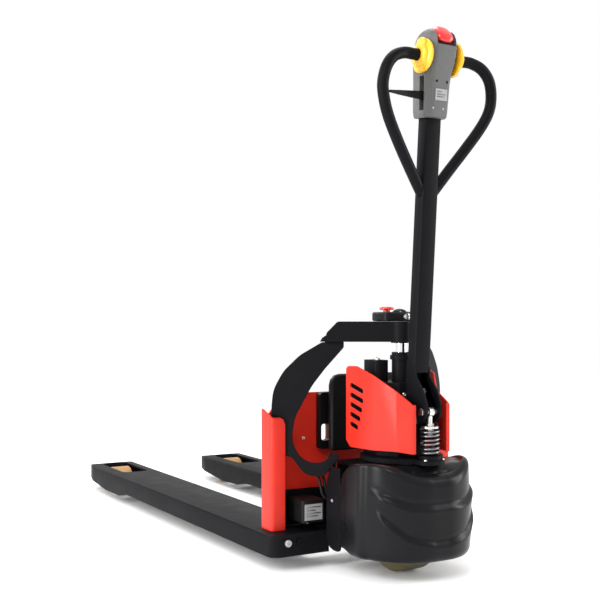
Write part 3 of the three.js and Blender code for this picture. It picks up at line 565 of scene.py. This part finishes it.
def hex_head(name, centre, axis, radius, height, body, slot="zinc", socket=True):
    """A bolt head with a chamfered rim: round with a socket, or a plain hexagon."""
    turn = Vector((0, 0, 1)).rotation_difference(Vector(axis)).to_matrix()

    def place(u, v, h):
        return centre + turn @ (Vector((u, v, h)) * MM)

    if socket:
        profile = [(0, -1), (radius, -1), (radius, height - 1), (radius - 1, height), (radius * 0.5, height),
                   (radius * 0.5, height * 0.45), (0, height * 0.45)]
        head = turned(name, profile, place, 36)
    else:
        profile = [(0, -1), (radius, -1), (radius, height - 0.8), (radius * 0.9, height), (0, height)]
        head = turned(name, profile, place, 6)
        for polygon in head.data.polygons:
            polygon.use_smooth = False
    soften(head, 0.25, 2, 40)
    return add(head, body, slot)


def frame_details():
    """The side arms, the screws beside them, the cover's flank screws and the pins of the fork heels."""
    for side, sign in SIDES:
        side_arm(side, sign)
        outward = (sign, 0, 0)
        hex_head("plate_bolt_" + side, at(sign * 150, 189.5, 290), (0, -1, 0), 4, 3, "fork_frame")
        hex_head("flank_screw_" + side, at(sign * HOOD_HALF, 64, 160), outward, 4, 2.4, "chassis", "steel")
        for row, z in enumerate((336, 299)):
            hex_head(f"cover_screw_{side}_{row}", at(sign * 43, -75, z), outward, 4.2, 2.4, "steer_head")
        heel_pins(side, sign)


HEEL_FACE, HEEL_PIN_HEIGHT = 105, 66


def heel_pins(side, sign):
    """The two link pins that stand out of the closed end of each fork heel."""
    for index, (x, r, slot) in enumerate(((210, 7, "black_paint"), (242, 8.5, "steel"))):
        profile = [(0, -1), (r - 3, -1), (r - 3, 2), (r, 2.4), (r, 8), (r - 1, 9), (3, 9), (3, 6.5), (0, 6.5)]

        def place(u, v, h, x=x):
            return at(sign * x + u, HEEL_FACE - h, HEEL_PIN_HEIGHT + v)

        pin = turned(f"heel_pin_{side}_{index}", profile, place, 32)
        soften(pin, 0.3, 2, 40)
        add(pin, "fork_frame", slot)


# ---------- power pack ----------
def control_details():
    """The domed switch and the two charge lamps on top of the control box."""
    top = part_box("control_box")[1].z / MM

    def dome_place(u, v, h):
        return at(14 + u, 26 + v, top + h)

    dome_profile = [(0, 7.5), (6, 7), (12, 5), (16, 2), (17.5, -1), (17.5, -3), (0, -3)]
    dome = turned("switch_dome", dome_profile, dome_place, 48)
    add(dome, "fork_frame", "black_plastic")
    lamp_profile = [(0, 1.8), (1.6, 1.4), (2.4, 0), (2.4, -1), (0, -1)]
    for index, (x, y) in enumerate(((4, 8), (24, 7))):
        def lamp_place(u, v, h, x=x, y=y):
            return at(x + u, y + v, top + h)

        lamp = turned(f"charge_lamp_{index}", lamp_profile, lamp_place, 20)
        add(lamp, "fork_frame", "label_film")


def control_pipes():
    """Two formed pipes that drop from the battery side to the controller and turn back up."""
    for index, shift in enumerate((0, 12)):
        route = [at(-112 - shift, 112, 262), at(-112 - shift, 110, 225), at(-113 - shift, 108, 190),
                 at(-118 - shift, 104, 166), at(-128 - shift, 102, 160), at(-136 - shift, 104, 168),
                 at(-138 - shift, 110, 186), at(-138 - shift, 118, 205), at(-136 - shift, 130, 215)]
        pipe = tube(f"control_pipe_{index}", smooth_path(route, 8), 3.6 * MM, 16)
        add(pipe, "fork_frame", "black_plastic")


# ---------- steering head details ----------
TANK_TOP = 462


def steering_details():
    """The bolts of the pump block, the tiller lug and the spring seat, and the nut on the handle's clevis."""
    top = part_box("pump_block")[1].z / MM
    pump_bolts = ((-52, 20, top), (-40, 46, top), (48, 20, TANK_TOP), (46, 42, TANK_TOP))
    for index, (x, y, z) in enumerate(pump_bolts):
        hex_head(f"pump_bolt_{index}", at(x, y, z), (0, 0, 1), 5, 5, "steer_head")
    for index, (x, z) in enumerate(((-24, 404), (24, 404), (-24, 290), (24, 290))):
        hex_head(f"lug_bolt_{index}", at(x, -42, z), (0, -1, 0), 5, 4.5, "steer_head")
    for index, x in enumerate((-24, 24)):
        hex_head(f"seat_bolt_{index}", at(x, -122, 264), (0, 0, 1), 3.6, 3, "steer_head")
    hex_head("clevis_nut", on_tiller(2, 9, 61), LEAN @ Vector((0, -1, 0)), 9, 7, "tiller", socket=False)


COILS, SPRING_WIRE, SPRING_STEPS = 6.4, 2.6 * MM, 300


def return_spring():
    """A coil round the spring rod; it closes up towards its ends."""
    low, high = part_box("return_spring")
    eye_y = (low.y + high.y) / 2
    radius = (high.x - low.x) / 2 - SPRING_WIRE
    travel = high.z - low.z - 2 * SPRING_WIRE
    path = []
    for k in range(SPRING_STEPS + 1):
        t = k / SPRING_STEPS
        turn = COILS * t * 2 * math.pi
        # The lower coils stand a little further apart than the upper ones.
        spread = ease(t / 0.9) if t < 0.45 else ease(t)
        rise = 0.35 * spread + 0.65 * t
        z = low.z + SPRING_WIRE + travel * rise
        path.append(Vector((radius * math.cos(turn), eye_y + radius * math.sin(turn), z)))
    spring = tube("coil_spring", path, SPRING_WIRE, 12)
    add(spring, "steer_head", "zinc", "return_spring", finish=SPRING_STEEL)
    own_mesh(spring)


# ---------- wheels ----------
def wheel(name, node, body, slot, radius, half, bore, shoulder):
    """A tread with rounded shoulders, centred on its CAD node."""
    low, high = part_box(node)
    centre = (low + high) / 2
    arc = [(radius - shoulder + shoulder * math.sin(math.pi / 2 * k / 6),
            -half + shoulder * (1 - math.cos(math.pi / 2 * k / 6))) for k in range(7)]
    profile = [(bore, -half), *arc, *[(r, -h) for r, h in reversed(arc)], (bore, half), (bore, -half)]

    def place(u, v, h):
        return centre + Vector((h, u, v)) * MM

    tread = turned(name, profile, place, 96)
    soften(tread, 0.6, 2, 40)
    add(tread, body, slot, node)


def wheels():
    wheel("drive_tread", "drive_tyre", "drive_wheel", "tyre_polyurethane", 105, 35, 78, 8)
    for side, _ in SIDES:
        wheel("roller_tread_" + side, "load_roller_" + side, "roller_" + side, "roller_polyurethane", 40, 35,
              10.5, 5)


# ---------- tiller ----------
KNOB_HEIGHT, KNOB_PLANE, LOOP_PLANE = 795, 3, -6
# The loop from the knob down to the tube: out to the side, back and up from the knob's centre.
LOOP = [(37.7, 9, 0), (66, 9, 0), (92, 7, -1), (120, 3, -12), (140, 0, -36), (148, 0, -70), (143, 0, -104),
        (126, 5, -140), (94, 13, -187), (56, 21, -238), (14, 27.6, -294)]


def handle_loop(side, sign):
    """One half of the heart-shaped handle."""
    route = [on_tiller(sign * x, LOOP_PLANE + y, KNOB_HEIGHT + z) for x, y, z in LOOP]
    loop = tube("loop_tube_" + side, smooth_path(route, 10), 12.5 * MM, 32)
    add(loop, "tiller", "black_paint", "handle_loop_" + side)


def knob(side, sign):
    """A butterfly knob: a wide flange beside the head, a barrel and two thumb wings."""
    def place(u, v, h):
        return on_tiller(sign * h, KNOB_PLANE + u, KNOB_HEIGHT + v)

    profile = [(13.2, 38), (34.5, 38), (36, 39.2), (36, 42), (34.5, 43.8), (29, 44.8), (26.5, 46.5), (26, 50),
               (25, 53), (22.5, 55.2), (17, 56), (13.2, 56), (13.2, 38)]
    body = turned("knob_" + side, profile, place, 72)
    for sense in (1, -1):
        wing = [(-15, 14), (-19, 30, 7), (-6, 38, 9), (10, 35, 8), (16, 14)]
        outline = rounded([(sense * u, sense * v, *r) for u, v, *r in wing], 6)
        paddle = prism("wing", outline, place, 41, 51)
        soften(paddle, 3.0, 4, 40)
        apply_modifiers(paddle)
        carve(body, paddle, operation="UNION")
    soften(body, 0.7, 3, 35)
    add(body, "knob_" + side, "yellow_plastic", "drive_knob_" + side)


HEAD_SPLIT, SPLIT_GAP = 18, 0.1
# Rows up the head: height, half width, front, back, half width of the front face, depth of its chamfer.
HEAD = [(665, 28, -8, 44, 17, 12), (668, 30.5, -11, 47, 19, 13), (678, 31.5, -13, 49, 19.5, 14),
        (700, 32.2, -13.5, 50, 20, 14), (740, 33.6, -14.5, 50, 20, 14), (762, 35, -18, 50, 22, 15),
        (782, 36.4, -25, 50, 25, 15), (800, 37, -28, 50, 26, 15), (820, 36.6, -28.5, 48, 26, 14),
        (834, 35.6, -26, 44, 25, 12), (845, 33, -20, 36, 24, 10), (851, 29.5, -13, 28, 22, 8),
        (854, 26, -6, 20, 19, 6)]


def head_shells():
    """The head, carved out for the button, the lever slot and two holes, then split into two shells."""
    rows = []
    ends = (HEAD[0][0], HEAD[-1][0])
    for z, half, front, back, face, chamfer in HEAD:
        corners = [(-face, front, 7), (face, front, 7), (half, front + chamfer, 8), (half, back, 10),
                   (-half, back, 10), (-half, front + chamfer, 8)]
        if z in ends:
            corners = [(u, v, 5) for u, v, _ in corners]
        rows.append([on_tiller(p.x, p.y, z) for p in rounded(corners, 5)])
    dense = []
    for low, high in zip(rows, rows[1:]):
        dense += [low, [a.lerp(b, 0.5) for a, b in zip(low, high)]]
    dense.append(rows[-1])
    whole = skin("head_front", dense)
    pocket = [(-44, 818), (-44, 878), (18, 878), (15.5, 839, 6), (-12, 829, 4), (-22, 818, 3)]
    seat = prism("seat", rounded(pocket, 4), lambda u, v, h: on_tiller(h, u, v), -25, 25)
    slot_cut = slab("slot", on_tiller, (-50, -22), (4, 20), (680, 754))
    holes = []
    for x, z in ((-13, 742), (15, 742)):
        holes.append(turned("hole", [(0, -40), (3.1, -40), (3.1, 0), (0, 0)],
                            lambda u, v, h, x=x, z=z: on_tiller(x + u, h - 8, z + v), 20))
    carve(whole, seat, slot_cut, *holes)
    rear = whole.copy()
    rear.data = whole.data.copy()
    rear.name = "head_rear"
    bpy.context.scene.collection.objects.link(rear)
    carve(whole, slab("cut", on_tiller, (-90, 90), (HEAD_SPLIT - SPLIT_GAP, 90), (600, 900)))
    carve(rear, slab("cut", on_tiller, (-90, 90), (-90, HEAD_SPLIT + SPLIT_GAP), (600, 900)))
    for shell, node in ((whole, "head_front_shell"), (rear, "head_rear_shell")):
        soften(shell, 0.7, 2, 42)
        add(shell, "tiller", "grey_plastic", node)
    # A thin near-black sheet closes the floor of the lever slot: painted shade, so the slot reads as a dark
    # recess.
    recess_shade = slab("head_slot_shadow_sheet", on_tiller, (-23.6, -22.1), (4.2, 19.8), (680.2, 753.8))
    add(recess_shade, "tiller", "black_plastic", finish=SLOT_SHADE_FINISH)
    for index, (x, z) in enumerate(((-18, 684), (9, 684))):
        hex_head(f"head_screw_{index}", on_tiller(x, -12.9, z), LEAN @ Vector((0, -1, 0)), 2.2, 1.2, "tiller",
                 slot="steel")


BUTTON_TILT = 0.735
BUTTON_Y, BUTTON_Z = -11, 844.4
BUTTON_HALF_WIDTH, BUTTON_HALF_LENGTH = 23.6, 25
BUTTON_SKIRT = -2
BUTTON_RISE = 10.5


def belly_button():
    """An oval pillow that lies over the chamfered top edge of the head."""
    levels = [(0.93, BUTTON_SKIRT - 5), (1.0, BUTTON_SKIRT - 3), (1.0, BUTTON_SKIRT)]
    arcs = [math.pi / 2 * k / 14 for k in range(1, 14)]
    levels += [(math.cos(arc) ** 0.7, BUTTON_SKIRT + BUTTON_RISE * math.sin(arc)) for arc in arcs]
    levels.append((0.04, BUTTON_SKIRT + BUTTON_RISE))
    rows = []
    for scale, rise in levels:
        row = []
        for c, s in circle(72):
            across = BUTTON_HALF_WIDTH * scale * squared(c, 0.78)
            along = BUTTON_HALF_LENGTH * scale * squared(s, 0.78)
            y = BUTTON_Y - along * math.cos(BUTTON_TILT) - rise * math.sin(BUTTON_TILT)
            z = BUTTON_Z - along * math.sin(BUTTON_TILT) + rise * math.cos(BUTTON_TILT)
            row.append(on_tiller(across, y, z))
        rows.append(row)
    button = skin("reverse_button", rows)
    add(button, "belly_button", "red_plastic", "belly_button")


LEVER_ROOT, LEVER_LENGTH, LEVER_STEPS = -26, 97, 26


def lift_lever():
    """A tapered blade with a ribbed grip, out of the slot on the left of the head."""
    rows = []
    for k in range(LEVER_STEPS + 1):
        t = k / LEVER_STEPS
        rib = 0.5 if k % 2 and 0.25 < t < 0.8 else 0
        tip = 0.6 if k == LEVER_STEPS else 1
        half_z = (10 - 7.2 * t + rib) * tip
        half_y = (3.2 - 0.9 * t) * tip
        x, y, z = LEVER_ROOT - LEVER_LENGTH * t, 12 - 5.5 * t * t, 712 - 1.5 * t
        rows.append([on_tiller(x, y + half_y * squared(c, 0.6), z + half_z * squared(s, 0.6))
                     for c, s in circle(20)])
    lever = skin("lever_blade", rows)
    add(lever, "lift_lever", "black_plastic", "lift_lever")


def labels():
    """Blank film labels with a few plain bars in place of print."""
    film = slab("panel_film", on_tiller, (-15, 16), (-15.4, -13), (701, 726))
    soften(film, 0.3)
    add(film, "tiller", "label_film", "control_panel")
    for index, (x0, x1, z) in enumerate(((-11, 2, 719), (-11, 11, 713), (-11, 8, 708))):
        bar = slab(f"panel_bar_{index}", on_tiller, (x0, x1), (-15.8, -15.3), (z, z + 2.2))
        add(bar, "tiller", "label_film", finish=PRINT)
    low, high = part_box("name_plate")
    width, height = high.x - low.x, high.z - low.z
    lines = [(0.1, 0.9, 0.78), (0.1, 0.6, 0.58), (0.1, 0.9, 0.40), (0.1, 0.75, 0.22)]
    for index, (start, end, level) in enumerate(lines):
        across = (low.x + width * start, low.x + width * end)
        upright = (low.z + height * level, low.z + height * (level + 0.07))
        bar = slab(f"plate_bar_{index}", lambda x, y, z: Vector((x, y, z)), across,
                   (low.y - 0.4 * MM, low.y + 0.2 * MM), upright)
        add(bar, "fork_frame", "label_film", finish=PRINT)


def tiller():
    for side, sign in SIDES:
        handle_loop(side, sign)
        knob(side, sign)
    head_shells()
    belly_button()
    lift_lever()
    labels()


studio()
drive_cover()
frame_details()
control_details()
control_pipes()
steering_details()
return_spring()
wheels()
tiller()
